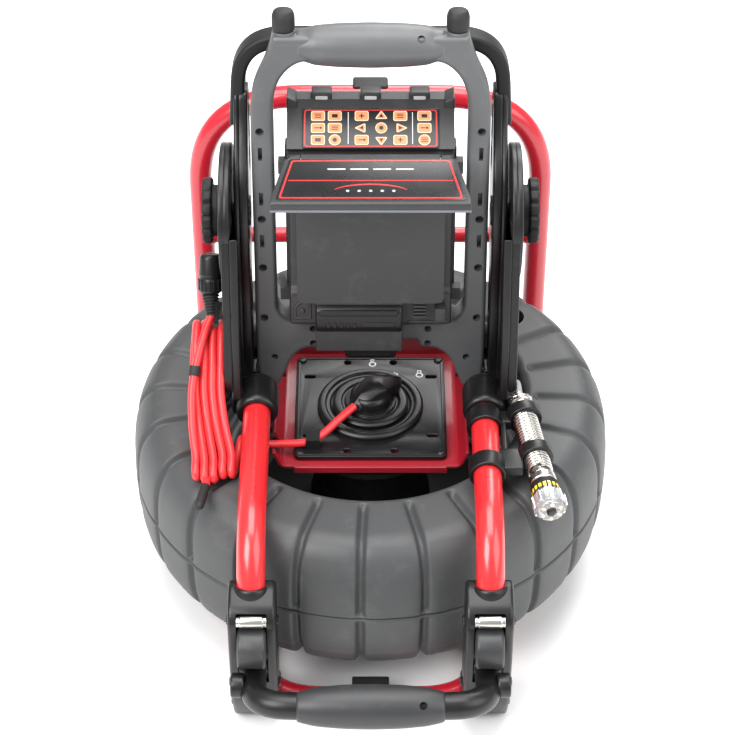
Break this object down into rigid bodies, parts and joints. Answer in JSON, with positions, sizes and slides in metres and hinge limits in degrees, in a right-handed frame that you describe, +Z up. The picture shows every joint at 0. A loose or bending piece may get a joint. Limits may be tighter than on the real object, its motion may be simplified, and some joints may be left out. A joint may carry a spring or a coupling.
{
  "type": "drain inspection camera reel",
  "caption": "Portable drain inspection camera: push-cable drum in a tube frame with a docked, tilting screen, folding handle and spring-mounted camera head.",
  "frame": {"origin": "centre of the footprint of the reel, at the floor", "axes": "+X right as the user faces the screen, +Y away from the user (from the front handle to the rear loop), +Z up"},
  "size_m": [0.45, 0.5867, 0.5584],
  "materials": {
    "drum_grey": "fine moulded texture",
    "black_plastic": "satin moulded",
    "black_metal": "satin black powder coat",
    "push_cable": "smooth grey jacket",
    "stainless": "turned stainless",
    "red_enamel": "gloss red powder coat",
    "crimson_enamel": "satin red powder coat on sheet",
    "rubber": "matte rubber",
    "frame_grey": "satin grey moulding",
    "case_grey": "fine moulded texture",
    "board_green": "solder mask",
    "display_black": "unlit display",
    "clear_window": "clear protective window",
    "keypad_film": "printed membrane film",
    "lens_clear": "clear",
    "cable_red": "smooth orange-red jacket"
  },
  "bodies": {
    "reel_frame": {"push_cable_lead": "push_cable", "drum_axle": "stainless", "base_loop": "red_enamel", "base_crossmember": "black_metal", "rubber_pad_rear": "rubber", "rubber_pad_front": "rubber", "front_tube_right": "red_enamel", "front_tube_left": "red_enamel", "hub_bracket": "crimson_enamel", "hub_plate": "black_metal", "slip_ring_housing": "black_plastic", "side_arm_right": "black_plastic", "side_arm_left": "black_plastic", "handle_bracket_right": "black_plastic", "handle_bracket_left": "black_plastic", "latch_pin_right": "stainless", "latch_pin_left": "stainless", "camera_spring": "stainless", "camera_body": "stainless", "camera_led_ring": "lens_clear", "camera_window": "lens_clear", "camera_guide_ring": "lens_clear", "camera_holder": "black_plastic", "system_cable": "cable_red", "cable_hank": "cable_red", "connector_plug": "black_plastic", "connector_boot": "rubber", "cable_hook": "black_metal", "cable_clip": "black_plastic", "cable_end_cap": "rubber"},
    "drum": {"drum_upper_shell": "drum_grey", "drum_lower_shell": "drum_grey", "drum_hub": "black_plastic", "push_cable_coil": "push_cable", "axle_bearing": "stainless"},
    "dock": {"dock_arm_right": "black_plastic", "dock_arm_left": "black_plastic", "dock_crossbar": "black_plastic", "monitor_frame": "frame_grey", "bumper_right": "rubber", "bumper_left": "rubber", "monitor_housing": "case_grey", "main_board": "board_green", "monitor_bezel": "case_grey", "display_panel": "display_black", "display_window": "clear_window", "hood_pin": "stainless", "keypad_overlay": "keypad_film"},
    "lock_lever": {"drum_lock_knob": "black_plastic"},
    "knob_right": {"pivot_knob_right": "black_plastic"},
    "knob_left": {"pivot_knob_left": "black_plastic"},
    "hood": {"sun_hood": "case_grey"},
    "battery": {"battery_pack": "black_plastic"},
    "latch": {"dock_latch": "black_plastic"},
    "port_flap": {"port_cover": "rubber"},
    "handle": {"carry_handle": "frame_grey"},
    "thumb_right": {"thumb_latch_right": "frame_grey"},
    "thumb_left": {"thumb_latch_left": "frame_grey"}
  },
  "joints": [
    {"name": "drum_spin", "type": "hinge", "parent": "reel_frame", "child": "drum", "pos_m": [0, 0.0535, 0.11], "axis": [0, 0, 1], "continuous": true},
    {"name": "lock_turn", "type": "hinge", "parent": "reel_frame", "child": "lock_lever", "pos_m": [0, 0.0535, 0.17], "axis": [0, 0, 1], "range_deg": [0, 48]},
    {"name": "knob_right_turn", "type": "hinge", "parent": "reel_frame", "child": "knob_right", "pos_m": [0.145, 0.0999, 0.3628], "axis": [1, 0, 0], "range_deg": [-180, 180]},
    {"name": "knob_left_turn", "type": "hinge", "parent": "reel_frame", "child": "knob_left", "pos_m": [-0.145, 0.0999, 0.3628], "axis": [1, 0, 0], "range_deg": [-180, 180]},
    {"name": "dock_tilt", "type": "hinge", "parent": "reel_frame", "child": "dock", "pos_m": [0, 0.0999, 0.3628], "axis": [1, 0, 0], "range_deg": [0, 14]},
    {"name": "hood_fold", "type": "hinge", "parent": "dock", "child": "hood", "pos_m": [0, 0.08338, 0.43127], "axis": [1, 0, 0], "range_deg": [0, 62]},
    {"name": "battery_slide", "type": "slide", "parent": "dock", "child": "battery", "axis": [0, -0.9877, 0.1564], "range_m": [0, 0.06]},
    {"name": "latch_flip", "type": "hinge", "parent": "dock", "child": "latch", "pos_m": [0, 0.07142, 0.22156], "axis": [1, 0, 0], "range_deg": [0, 20], "stiffness_Nm_per_rad": 0.15, "springref_deg": -5.73},
    {"name": "port_flap_open", "type": "hinge", "parent": "dock", "child": "port_flap", "pos_m": [0.059, 0.05683, 0.28158], "axis": [0, 0.1564, 0.9877], "range_deg": [-100, 0]},
    {"name": "handle_fold", "type": "hinge", "parent": "reel_frame", "child": "handle", "pos_m": [0, -0.2125, 0.096], "axis": [1, 0, 0], "range_deg": [0, 55]},
    {"name": "thumb_right_press", "type": "slide", "parent": "reel_frame", "child": "thumb_right", "axis": [0, 0, -1], "range_m": [0, 0.0035], "stiffness_N_per_m": 800, "springref_m": -0.002},
    {"name": "thumb_left_press", "type": "slide", "parent": "reel_frame", "child": "thumb_left", "axis": [0, 0, -1], "range_m": [0, 0.0035], "stiffness_N_per_m": 800, "springref_m": -0.002}
  ]
}
